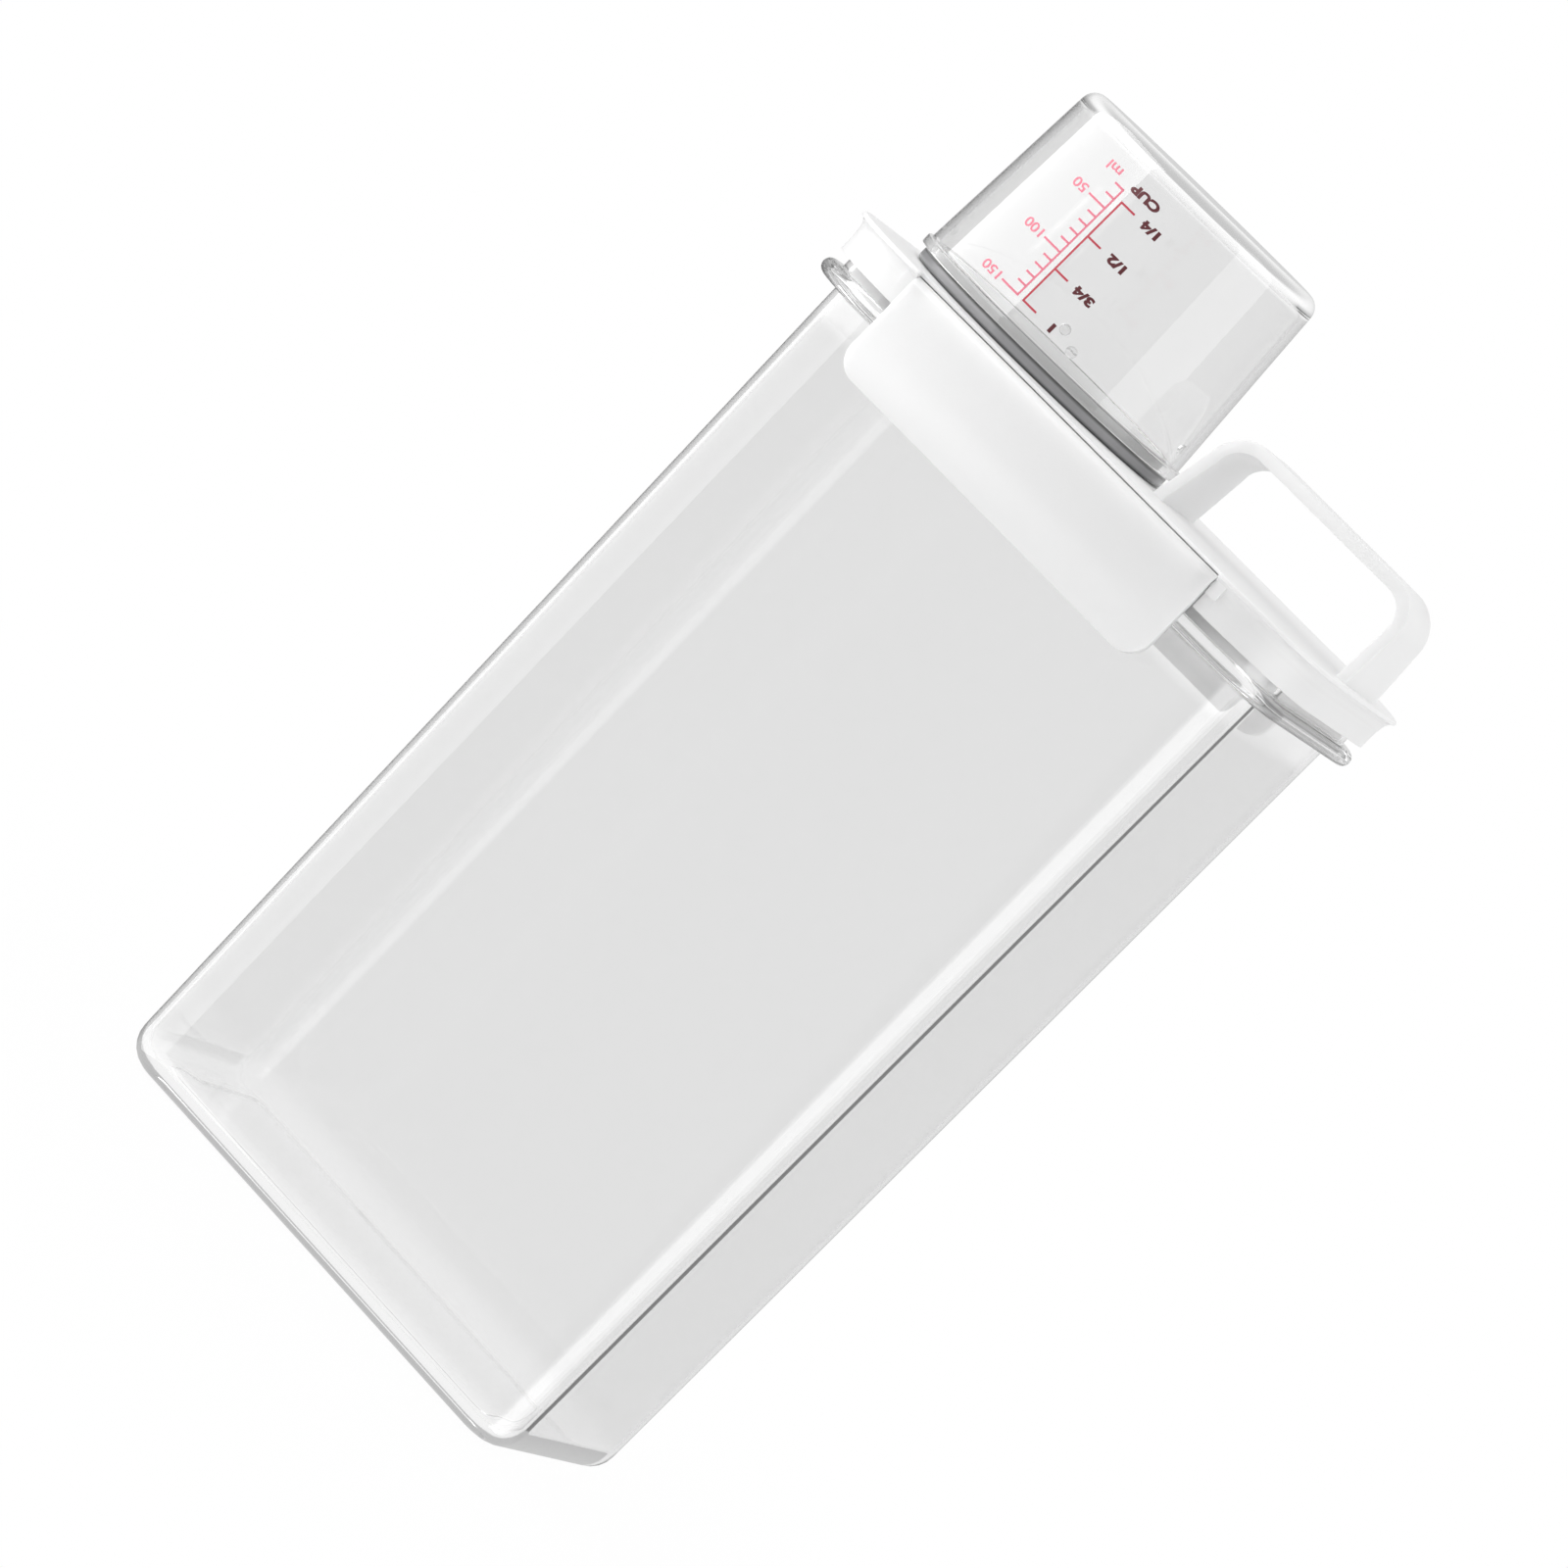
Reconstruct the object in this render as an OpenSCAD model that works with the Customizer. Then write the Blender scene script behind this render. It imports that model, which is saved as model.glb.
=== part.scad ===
// Tall clear container for laundry powder, with a latched lid, a strap handle
// and a measuring cup that caps the round pouring spout. Millimetres, +Z up.
// The origin is the middle of the base. +X is the handle's end, -Y the front.

/* [Container] */
// Outer width of the body, just under the rim bead
body_w = 135.4; // [128:0.2:160]
// Outer depth of the body, just under the rim bead
body_d = 84.6; // [82:0.2:110]
// Height of the rim bead's underside above the ground
body_h = 231.5; // [120:0.5:320]
// Draft of each side wall, in degrees
draft = 0.75; // [0:0.05:1.2]
// Radius of the upright corners, just under the rim bead
corner_r = 13.8; // [10:0.2:20]
// Thickness of the side walls
wall = 2; // [1.2:0.1:3]
// Thickness of the floor, above the recess under it
floor_t = 2.2; // [1.2:0.1:5]
// Outer radius where the walls meet the base
base_r = 7; // [4:0.5:9]
// Width of the ring that the container stands on
foot_w = 3; // [1.5:0.5:6]
// Height of the recess inside that ring
foot_h = 0.8; // [0.3:0.1:1.5]
// Corner radius of that recess
foot_r = 4; // [1:0.5:12]

/* [Rim and neck] */
// How far the rim bead stands out from the body
bead_out = 6; // [4.5:0.1:9]
// Thickness of the rim bead
bead_t = 3.9; // [2.5:0.1:5]
// How far the neck stands out from the body
neck_out = 2; // [1.5:0.1:3]
// Thickness of the neck's wall
neck_t = 2; // [1.2:0.1:2.4]
// Height of the neck above the rim bead
neck_h = 7.1; // [6:0.1:9]
// Depth of the inner ledge below the top of the rim bead
ledge_drop = 1.5; // [0.5:0.1:2]

/* [Lid] */
// How far the lid's lip stands out past the rim bead
lip_over = 2.8; // [2:0.1:4]
// Corner radius of the lid, seen from above
lid_r = 28.5; // [20:0.5:32]
// Clear height between the rim bead and the skirt
skirt_gap = 2.6; // [1:0.1:4]
// Thickness of the lid's plate
plate_t = 2; // [1.4:0.1:3]
// Thickness of the lid's outer skirt
skirt_t = 1.6; // [1:0.1:2.5]
// How far the lip stands out from the skirt
lip_out = 1.8; // [0.5:0.1:2]
// Thickness of the lip's edge
lip_t = 1; // [0.7:0.1:1.6]
// Height of the hollow flare under that edge
flare_h = 3.4; // [1.5:0.1:5]
// Radius on the upper edge of the lip
lip_r = 0.6; // [0.2:0.1:1]
// How far the skirt leans in towards its lower edge
skirt_lean = 0.2; // [0:0.1:0.6]
// Thickness of the lid gasket
gasket_t = 3; // [2:0.1:4]
// Thickness of the plug wall inside the neck
plug_t = 2; // [1.2:0.1:3]
// Clearance between the plug and the neck
plug_gap = 0.35; // [0.1:0.05:0.6]
// How far the plug stops above the neck's inner ledge
plug_rest = 1; // [0.5:0.1:3]
// Thickness of the wall around the gasket
guard_t = 1.4; // [0.8:0.1:2]
// Clearance between that wall and the neck
guard_gap = 0.5; // [0.2:0.1:0.8]
// How far that wall ends above the skirt's lower edge
guard_lift = 1; // [0.5:0.1:3]
// Clearance at each side of the gasket
gasket_gap = 0.15; // [0.05:0.05:0.3]

/* [Handle] */
// Outer width of the handle at its root
handle_w = 61.6; // [50:0.2:64]
// Distance from the handle's outer side to the lid's end
handle_end = 2.9; // [2:0.1:6]
// Height of the handle above the lid
handle_h = 24; // [18:0.5:40]
// Depth of the handle at its root
handle_d = 27; // [18:0.5:34]
// Depth of the handle at its top
handle_top_d = 19; // [12:0.5:27]
// Thickness of the handle's legs
leg_t = 2.6; // [2:0.1:4]
// Thickness of the handle's top bar
bar_t = 3; // [2:0.1:5]
// Outer radius of the handle's upper corners
handle_r = 9; // [5:0.5:12]
// How far the leg beside the cup leans in
leg_lean = 2.4; // [0:0.1:5]

/* [Spout] */
// Distance of the spout's axis from the middle, towards the cup's end
spout_x = 31.3; // [30:0.1:36]
// Radius of the pouring hole
spout_r = 31; // [24:0.5:31.5]
// Thickness of the spout's collar
collar_t = 2; // [1.2:0.1:2.4]
// Height of the collar above the lid
collar_h = 5.6; // [4.5:0.1:7]
// Clearance between the collar and its seal
seal_gap = 0.1; // [0.05:0.05:0.3]
// Outer radius of the seal's band
seal_r = 37; // [36:0.1:38]
// Height of the seal's band under the cup
seal_h = 3.2; // [2:0.1:4]
// Thickness of the seal's sleeve around the collar
sleeve_t = 1.2; // [0.8:0.1:1.3]

/* [Measuring cup] */
// Outer radius of the cup's wall at its mouth
cup_r = 37.8; // [36.6:0.1:38.6]
// Outer radius of the cup's wall at its closed end
cup_end_r = 34.8; // [30:0.1:36]
// Height of the cup
cup_h = 50.8; // [30:0.1:80]
// Thickness of the cup's wall
cup_t = 1.7; // [1.2:0.1:1.9]
// Thickness of the cup's closed end
cup_end_t = 2.8; // [1.5:0.1:4]
// Radius on the edge of the closed end
cup_edge_r = 3.8; // [2:0.1:5]
// How far the cup's rim stands out from its wall
cup_rim_out = 0.8; // [0.5:0.1:1.5]
// Height of the cup's rim
cup_rim_h = 2.4; // [1.5:0.1:4]
// Number of small nubs inside the mouth
nubs = 5; // [3:1:8]
// Radius of a nub
nub_r = 0.9; // [0.5:0.1:1.1]
// Height of a nub's lower side above the collar
nub_lift = 0.3; // [0.2:0.1:4]
// Angle of the first nub around the cup
nub_turn = -66; // [-180:1:180]

/* [Latches] */
// Width of a latch
latch_w = 96; // [60:1:97]
// Depth of a latch below the lid's top
latch_drop = 27.3; // [24:0.1:34]
// Thickness of a latch
latch_t = 2; // [1.4:0.1:2.1]
// Radius of a latch's knuckle
knuckle_r = 2.2; // [2.1:0.1:2.6]
// Thickness of the lid's lip over a knuckle
hood_t = 0.8; // [0.5:0.1:1]
// Running clearance around a knuckle and at a latch's ends
latch_gap = 0.25; // [0.15:0.05:0.4]
// Radius of a latch's two lower corners
latch_corner_r = 6; // [2:0.5:9]
// How far a latch's lower edge kicks out
latch_kick = 0.8; // [0:0.1:2]
// Radius of a hinge pin
pin_r = 0.9; // [0.7:0.05:1]
// Length of a hinge pin
pin_l = 3; // [2:0.1:6]
// Radial clearance of a hinge pin in its hole
pin_gap = 0.08; // [0.03:0.01:0.1]
// Length of a hinge lug on the lid
lug_l = 3; // [2:0.1:5]
// Length of the hook that grips the rim bead
hook_l = 80; // [30:1:90]
// Thickness of the hook
hook_t = 1.8; // [1.2:0.1:3]
// How far the hook reaches under the rim bead
hook_grip = 3.5; // [2:0.1:4.4]
// Clearance between the hook and the rim bead
hook_gap = 0.25; // [0.15:0.05:0.5]

/* [Hidden] */

// Fineness of corners inside hulls and of turned surfaces
hull_fn = 48;
turn_fn = 96;
small_fn = 32;
// Steps along a rounded edge, and along the flare under the lid's lip
edge_steps = 6;
flare_steps = 4;
// Thickness of the slices that a hull joins
slice = 0.01;
// Overlap of pieces that are joined, and overshoot of cuts
lap = 0.5;
// Smallest corner radius of a slice
least_r = 0.4;

// Levels, from the ground up
bead_z = body_h;
bead_top = bead_z + bead_t;
ledge_z = bead_top - ledge_drop;
neck_top = bead_top + neck_h;
skirt_z = bead_top + skirt_gap;
plate_z = neck_top + gasket_t;
lid_top = plate_z + plate_t;
cup_z = lid_top + seal_h;
collar_top = lid_top + collar_h;

// How far the recess under the floor lies inside the body's outline at its top
recess_in = body_h * tan(draft) + base_r + foot_w;

// The bead's and the lid's size, seen from above
bead_w = body_w + 2 * bead_out;
bead_d = body_d + 2 * bead_out;
lid_w = bead_w + 2 * lip_over;
lid_d = bead_d + 2 * lip_over;

// The neck, and what fits inside and around it
neck_in = neck_out - neck_t;
plug_out = neck_in - plug_gap;
guard_in = neck_out + guard_gap;

// Latch hinge axis, given for the rear latch
axis_y = lid_d / 2 - knuckle_r;
axis_z = lid_top - hood_t - latch_gap - knuckle_r;
notch_w = latch_w + 2 * latch_gap;
latch_bottom = lid_top - latch_drop;
hook_top = bead_z - hook_gap;

// The cup's inside
cup_in_r = cup_r - cup_t;
cup_end_in_r = cup_end_r - cup_t;
nub_z = collar_top + nub_lift + nub_r;

function rise(z) = (body_h - z) * tan(draft);
function arc(cx, cy, r, from, to, steps) =
    [for (i = [0:steps]) let (a = from + (to - from) * i / steps) [cx + r * cos(a), cy + r * sin(a)]];

// Rectangle with round corners, centred on the axis
module plan(w, d, r) {
    k = max(r, least_r);
    square([w - 2 * k, d], center = true);
    square([w, d - 2 * k], center = true);
    for (x = [-1, 1], y = [-1, 1])
        translate([x * (w / 2 - k), y * (d / 2 - k)]) circle(r = k);
}

// The body's outline at its top, moved out by a distance
module body_plan(out) {
    plan(body_w + 2 * out, body_d + 2 * out, corner_r + out);
}

module layer(z) {
    translate([0, 0, z]) linear_extrude(slice) children();
}

// Wall between two outlines around the neck
module neck_ring(inner, outer, z0, z1) {
    translate([0, 0, z0]) linear_extrude(z1 - z0) difference() {
        body_plan(outer, $fn = hull_fn);
        body_plan(inner, $fn = hull_fn);
    }
}

// Drafted body form with a rounded lower edge
module body_form(inset, z0, z1, edge) {
    hull() {
        for (i = [0:edge_steps]) {
            a = 90 * i / edge_steps;
            z = z0 + edge * (1 - cos(a));
            layer(z) body_plan(-inset - rise(z) - edge * (1 - sin(a)), $fn = hull_fn);
        }
        layer(z1 - slice) body_plan(-inset - rise(z1), $fn = hull_fn);
    }
}

// Rim bead with a half-round edge
module rim_bead() {
    half = bead_t / 2;
    hull() for (i = [0:2 * edge_steps]) {
        a = 90 * i / edge_steps - 90;
        layer(bead_z + half + half * sin(a) - (i > edge_steps ? slice : 0))
            body_plan(bead_out - half + half * cos(a), $fn = hull_fn);
    }
}

module container() {
    color([0.86, 0.87, 0.88, 0.35]) difference() {
        union() {
            body_form(0, 0, bead_z + lap, base_r);
            rim_bead();
            translate([0, 0, bead_top - lap]) linear_extrude(neck_h + lap)
                body_plan(neck_out, $fn = hull_fn);
        }
        body_form(wall, floor_t + foot_h, bead_top, max(base_r - wall, 1));
        translate([0, 0, ledge_z]) linear_extrude(neck_top - ledge_z + lap)
            body_plan(neck_in, $fn = hull_fn);
        translate([0, 0, -lap]) linear_extrude(foot_h + lap)
            plan(body_w - 2 * recess_in, body_d - 2 * recess_in, foot_r, $fn = hull_fn);
    }
}

module lid_plan(out) {
    plan(lid_w + 2 * out, lid_d + 2 * out, lid_r + out, $fn = hull_fn);
}

// One outline of the hollow flare under the lip, from the skirt at 0 to the lip's edge at 90
module flare_ring(a) {
    layer(lid_top - lip_t - flare_h * (1 - sin(a))) lid_plan(-lip_out * cos(a));
}

// Skirt and plate, with the lip flaring out at the top
module lid_form() {
    hull() {
        layer(skirt_z) lid_plan(-lip_out - skirt_lean);
        layer(lid_top - slice) lid_plan(-lip_out);
    }
    for (i = [1:flare_steps]) hull() {
        flare_ring(90 * (i - 1) / flare_steps);
        flare_ring(90 * i / flare_steps);
    }
    hull() {
        flare_ring(90);
        for (i = [0:edge_steps]) {
            a = 90 * i / edge_steps;
            layer(lid_top - lip_r * (1 - sin(a)) - slice) lid_plan(-lip_r * (1 - cos(a)));
        }
    }
}

// Outline of the strap handle, moved in by a thickness, from its root beside the cup
function handle_outline(t) = concat(
    [[t, -lap]],
    arc(leg_lean + handle_r, handle_h - handle_r, handle_r - t, 180, 90, 2 * edge_steps),
    arc(handle_w - handle_r, handle_h - handle_r, handle_r - t, 90, 0, 2 * edge_steps),
    [[handle_w - t, -lap]]);

module handle() {
    x0 = lid_w / 2 - handle_end - handle_w;
    outer = handle_outline(0);
    inner = handle_outline(leg_t);
    translate([x0, 0, lid_top]) intersection() {
        rotate([90, 0, 0]) linear_extrude(2 * handle_d, center = true) difference() {
            polygon(outer);
            translate([0, leg_t - bar_t]) polygon(inner);
            translate([leg_t, -2 * lap]) square([handle_w - 2 * leg_t, 2 * lap]);
        }
        rotate([90, 0, 90]) linear_extrude(handle_w) polygon([
            [-handle_d / 2, -lap], [handle_d / 2, -lap],
            [handle_top_d / 2, handle_h], [-handle_top_d / 2, handle_h]]);
    }
}

// Room for a latch at the rear edge of the lid
module latch_notch() {
    clear_y = axis_y - knuckle_r - latch_gap;
    reach = lid_d;
    translate([-notch_w / 2, clear_y, skirt_z - lap])
        cube([notch_w, reach, lid_top - hood_t - skirt_z + lap]);
    translate([-notch_w / 2, axis_y, skirt_z - lap])
        cube([notch_w, reach, lid_top - skirt_z + 2 * lap]);
}

// Lugs and pins that carry a latch at the rear edge of the lid
module latch_pins() {
    lug_out = pin_r + pin_gap;
    for (side = [-1, 1]) {
        near = side * notch_w / 2;
        translate([min(near, near + side * lug_l), axis_y - knuckle_r, axis_z - knuckle_r])
            cube([lug_l, knuckle_r + lug_out, plate_z + lap - axis_z + knuckle_r]);
        translate([near + side * lap, axis_y, axis_z]) rotate([0, -side * 90, 0])
            cylinder(r = pin_r, h = pin_l + latch_gap + lap, $fn = small_fn);
    }
}

module lid() {
    color([0.96, 0.96, 0.96]) {
        difference() {
            union() {
                difference() {
                    lid_form();
                    translate([0, 0, skirt_z - lap]) linear_extrude(plate_z - skirt_z + lap)
                        lid_plan(-lip_out - skirt_t);
                }
                neck_ring(plug_out - plug_t, plug_out, ledge_z + plug_rest, plate_z + lap);
                neck_ring(guard_in, guard_in + guard_t, skirt_z + guard_lift, plate_z + lap);
                translate([-spout_x, 0, plate_z + lap])
                    cylinder(r = spout_r + collar_t, h = collar_top - plate_z - lap, $fn = turn_fn);
                handle();
            }
            translate([-spout_x, 0, plate_z - lap])
                cylinder(r = spout_r, h = collar_top - plate_z + 2 * lap, $fn = turn_fn);
            for (turn = [0, 180]) rotate([0, 0, turn]) latch_notch();
        }
        for (turn = [0, 180]) rotate([0, 0, turn]) latch_pins();
    }
}

// Soft ring between the plug and its guard wall, on top of the neck
module lid_gasket() {
    color([0.9, 0.9, 0.9]) neck_ring(plug_out + gasket_gap, guard_in - gasket_gap, neck_top, plate_z);
}

// Stepped ring around the spout's collar; the cup stands on its band
module spout_seal() {
    in_r = spout_r + collar_t + seal_gap;
    color([0.45, 0.45, 0.46]) translate([-spout_x, 0, lid_top]) rotate_extrude($fn = turn_fn) polygon([
        [in_r, 0], [seal_r, 0], [seal_r, seal_h], [in_r + sleeve_t, seal_h],
        [in_r + sleeve_t, collar_h], [in_r, collar_h]]);
}

// Clear cup, mouth down over the spout
module measuring_cup() {
    end_z = cup_h - cup_edge_r;
    end_in_z = cup_h - cup_end_t;
    edge_in_r = max(cup_edge_r - cup_t, 1);
    color([0.88, 0.88, 0.9, 0.4]) translate([-spout_x, 0, cup_z]) {
        rotate_extrude($fn = turn_fn) polygon(concat(
            [[cup_in_r, 0], [cup_r + cup_rim_out, 0], [cup_r + cup_rim_out, cup_rim_h], [cup_r, cup_rim_h]],
            arc(cup_end_r - cup_edge_r, end_z, cup_edge_r, 0, 90, edge_steps),
            [[0, cup_h], [0, end_in_z]],
            arc(cup_end_in_r - edge_in_r, end_in_z - edge_in_r, edge_in_r, 90, 0, edge_steps)));
        at_r = cup_in_r - (cup_r - cup_end_r) * (nub_z - cup_z) / cup_h;
        for (i = [0:nubs - 1]) rotate([0, 0, nub_turn + 360 * i / nubs])
            translate([at_r, 0, nub_z - cup_z]) sphere(r = nub_r, $fn = small_fn);
    }
}

// Rear latch: knuckle, flap and the hook that grips the rim bead
module latch() {
    inner_y = axis_y + knuckle_r - latch_t;
    outer_y = axis_y + knuckle_r;
    tip_y = bead_d / 2 - hook_grip;
    foot = hook_top - hook_t;
    difference() {
        union() {
            translate([-latch_w / 2, axis_y, axis_z]) rotate([0, 90, 0])
                cylinder(r = knuckle_r, h = latch_w, $fn = small_fn);
            intersection() {
                rotate([90, 0, 90]) linear_extrude(latch_w, center = true) polygon([
                    [inner_y, axis_z], [outer_y, axis_z], [outer_y, foot],
                    [outer_y + latch_kick, latch_bottom], [inner_y + latch_kick, latch_bottom],
                    [inner_y, foot]]);
                translate([0, axis_y + latch_w, axis_z]) rotate([90, 0, 0])
                    linear_extrude(2 * latch_w) translate([0, -(axis_z - latch_bottom)])
                    latch_face();
            }
            rotate([90, 0, 90]) linear_extrude(hook_l, center = true) polygon([
                [inner_y + latch_t / 2, hook_top], [tip_y, hook_top], [tip_y, hook_top - hook_t / 2],
                [tip_y + hook_t / 2, foot], [inner_y + latch_t / 2, foot]]);
        }
        for (side = [-1, 1])
            translate([side * (latch_w / 2 + lap), axis_y, axis_z]) rotate([0, -side * 90, 0])
                cylinder(r = pin_r + pin_gap, h = pin_l + 2 * lap, $fn = small_fn);
    }
}

// Face of a latch with its two lower corners rounded, standing on its lower edge
module latch_face() {
    tall = axis_z - latch_bottom;
    r = latch_corner_r;
    translate([-latch_w / 2, r]) square([latch_w, tall - r]);
    translate([-latch_w / 2 + r, 0]) square([latch_w - 2 * r, tall]);
    for (side = [-1, 1]) translate([side * (latch_w / 2 - r), r]) circle(r = r, $fn = small_fn);
}

module front_latch() {
    color([0.95, 0.95, 0.95]) rotate([0, 0, 180]) latch();
}

module rear_latch() {
    color([0.95, 0.95, 0.95]) latch();
}

container();
lid();
lid_gasket();
spout_seal();
front_latch();
rear_latch();
measuring_cup();
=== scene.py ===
"""Laundry powder container: clear body, white latched lid with a strap handle, clear measuring cup."""
import math

import bmesh
import bpy
from mathutils import Matrix, Vector


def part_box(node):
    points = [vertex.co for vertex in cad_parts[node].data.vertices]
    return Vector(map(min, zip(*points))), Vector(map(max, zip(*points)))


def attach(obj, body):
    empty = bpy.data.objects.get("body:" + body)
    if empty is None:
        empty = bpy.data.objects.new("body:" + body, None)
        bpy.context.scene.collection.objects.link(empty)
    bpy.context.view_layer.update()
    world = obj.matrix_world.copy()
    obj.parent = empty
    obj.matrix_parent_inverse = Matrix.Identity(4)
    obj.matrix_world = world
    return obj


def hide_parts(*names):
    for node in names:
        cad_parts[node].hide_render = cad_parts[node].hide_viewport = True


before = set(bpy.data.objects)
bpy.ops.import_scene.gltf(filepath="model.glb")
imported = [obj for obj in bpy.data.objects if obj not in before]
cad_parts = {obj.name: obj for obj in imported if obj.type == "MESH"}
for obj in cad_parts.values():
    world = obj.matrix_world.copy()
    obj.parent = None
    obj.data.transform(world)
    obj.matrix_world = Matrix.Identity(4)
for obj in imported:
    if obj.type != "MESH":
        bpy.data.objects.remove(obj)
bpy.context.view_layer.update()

# Lengths below are in millimetres, and become metres where a mesh is made
MM = 0.001

# Container: walls, base and rim, as the construction has them
WALL = 2.0
DRAFT = 0.75
CORNER_R = 13.8
BASE_R = 7.0
FLOOR_Z = 3.0
FOOT_W = 3.0
FOOT_H = 0.8
FOOT_R = 4.0
BEAD_OUT = 6.0
BEAD_T = 3.9
NECK_OUT = 2.0
NECK_T = 2.0
NECK_H = 7.1
LEDGE_DROP = 1.5

# Radii of the container's small edges. The bead's is nearly half of its thickness
FOOT_EDGE_R = 0.25
UNDER_BEAD_R = 0.5
BEAD_R = BEAD_T * 0.499
NECK_EDGE_R = 0.4
LEDGE_EDGE_R = 0.3
LEDGE_FOOT_R = 0.5

# Measuring cup
CUP_WALL = 1.7
CUP_END_T = 2.8
CUP_END_R = 34.8
CUP_EDGE_R = 3.8
CUP_RIM_OUT = 0.8
CUP_RIM_H = 2.4
CUP_STEP_R = 0.3
CUP_RIM_R = 0.35
CUP_MOUTH_R = 0.4

# Small nubs inside the cup's mouth: the first one's angle is in degrees
NUB_COUNT = 4
NUB_R = 1.4
NUB_Z = 257.2
NUB_TURN = -66.5

# Seal around the spout's collar, how far it stays under the cup's rim, and the radii of its edges
SEAL_IN = 33.1
SLEEVE_T = 1.2
SEAL_REST = 0.03
SEAL_IN_EDGE = 0.3
SEAL_BAND_R = 0.9
SLEEVE_FOOT_R = 0.2
SLEEVE_TOP_R = 0.4

# Colours of the seal's painted edge shade, where the gaps beside it are in shade, and of its pale sleeve
SEAL_EDGE_PAINTED_SHADE = (0.1, 0.1, 0.1)
SEAL_SLEEVE = (0.85, 0.85, 0.85)

# Printed scale on the cup: volumes in millilitres, angles from the view in degrees, and the share by which
# words are wider than the typeface has them
LINE_W = 0.5
FIGURE_H = 2.3
FIGURE_STRETCH = 1.45
INK_LIFT = 0.04
ML_SPINE = -22.4
CUP_SPINE = -19.5
ML_STEP = 10
ML_LOW = 30
ML_LONG = 50
ML_TOP = 150
CUP_PARTS = ("1/4", "1/2", "3/4", "1")
SHORT_TICK = 2.7
LONG_TICK = 5.5
CUP_TICK = 4.1
FIGURE_GAP = 1.0
THIN_STROKE = 0.02
BOLD_STROKE = 0.06
CUP_LABEL_AT = 8.9
HEADER_Z = 292.2
ML_HEADER_AT = -5.3
CUP_HEADER_AT = 3.2

# Camera: where the photograph was taken from, its lens and its roll
VIEW_AZIMUTH = 18.973
CAMERA_DISTANCE = 1720.2
CAMERA_HEIGHT = 326.3
TARGET_HEIGHT = 143.58
TARGET_SIDE = -6.45
ROLL = -44.122
FOCAL_PX = 7978.9
PICTURE_PX = 1600
SENSOR_W = 36.0

# Light inside the clear plastic: turns after which a ray goes straight on, how much of it each surface then
# lets through, and how much of a lamp's light each surface lets through
GLOSSY_TURNS = 2.5
ALL_TURNS = 8.5
DIMMED = 0.92
LAMP_SHADE = 0.98

# Colour of clear plastic where its grey tone is left out, which is painted light
PAINTED_LIGHT_CLEAR_SHADE = (0.99, 0.99, 0.99)

# Studio, in metres: the panels' distances and heights, and the ground, which shows shadows near the object
SOFT_AWAY = 0.6
SHINE_AWAY = 0.5
CORNER_AWAY = 0.46
PANEL_LOW = 0.01
PANEL_TOP = 0.95
SHINE_LOW = -0.5
SHINE_STEP = 0.26
CORNER_TOP = 0.22
GROUND_HALF = 12.0
GROUND_Z = -0.0002
GROUND_SHADE = (0.85, 0.85, 0.85, 1.0)
SHADOW_NEAR = 0.05
SHADOW_FAR = 0.35
SHADOW_WHITE = 0.97

# Light of the room, where 1 is white: at the front, and what the back and the top add. In reflections the
# top adds more, and each side is dimmed by a share
ROOM_FRONT = 0.57
ROOM_BACK = 0.06
ROOM_TOP = 0.27
SHINE_TOP = 0.32
DIM_LEFT = 0.85
DIM_RIGHT = 0.6

# Where each of these comes in or goes, as the part of a unit direction along its axis
ROOM_BACK_FROM_TO = (-0.5, 0.6)
ROOM_TOP_FROM_TO = (0.3, 0.9)
SHINE_TOP_FROM_TO = (0.25, 0.7)
DIM_LEFT_FROM_TO = (-0.62, -0.42)
DIM_RIGHT_FROM_TO = (0.12, 0.6)
DIM_LOW_FROM_TO = (-0.5, -0.25)
DIM_HIGH_FROM_TO = (0.1, 0.25)

# Steps of round edges, and how far a profile's flat ends lie from their last corner or from the middle
CORNER_STEPS = 16
TURN_STEPS = 128
FILLET_STEPS = 6
FLAT_END = 1


def neutral(level):
    """A colour without hue."""
    return (level, level, level)


def box_mm(node):
    """Lowest and highest corner of a CAD node, in millimetres."""
    low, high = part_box(node)
    return Vector(low) / MM, Vector(high) / MM


# Shared levels and widths, read off the frame
body_low, body_high = box_mm("container")
NECK_TOP = body_high.z
BEAD_TOP = NECK_TOP - NECK_H
BEAD_Z = BEAD_TOP - BEAD_T
BODY_W = body_high.x - body_low.x - 2 * BEAD_OUT
BODY_D = body_high.y - body_low.y - 2 * BEAD_OUT
cup_low, cup_high = box_mm("measuring_cup")
CUP_X = (cup_low.x + cup_high.x) / 2
CUP_Z = cup_low.z
CUP_H = cup_high.z - cup_low.z
CUP_R = (cup_high.x - cup_low.x) / 2 - CUP_RIM_OUT
CUP_TAPER = (CUP_R - CUP_END_R) / CUP_H


class Socket:
    """An output of a node. Arithmetic on it adds Math nodes to its tree."""

    def __init__(self, tree, socket):
        self.tree = tree
        self.socket = socket

    def math(self, operation, other=0.0, swapped=False):
        first, second = (other, self) if swapped else (self, other)
        return self.tree.node("ShaderNodeMath", {"operation": operation}, {0: first, 1: second})

    def __add__(self, other):
        return self.math("ADD", other)

    def __radd__(self, other):
        return self.math("ADD", other, swapped=True)

    def __sub__(self, other):
        return self.math("SUBTRACT", other)

    def __rsub__(self, other):
        return self.math("SUBTRACT", other, swapped=True)

    def __mul__(self, other):
        return self.math("MULTIPLY", other)

    def __rmul__(self, other):
        return self.math("MULTIPLY", other, swapped=True)

    def __truediv__(self, other):
        return self.math("DIVIDE", other)


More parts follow.
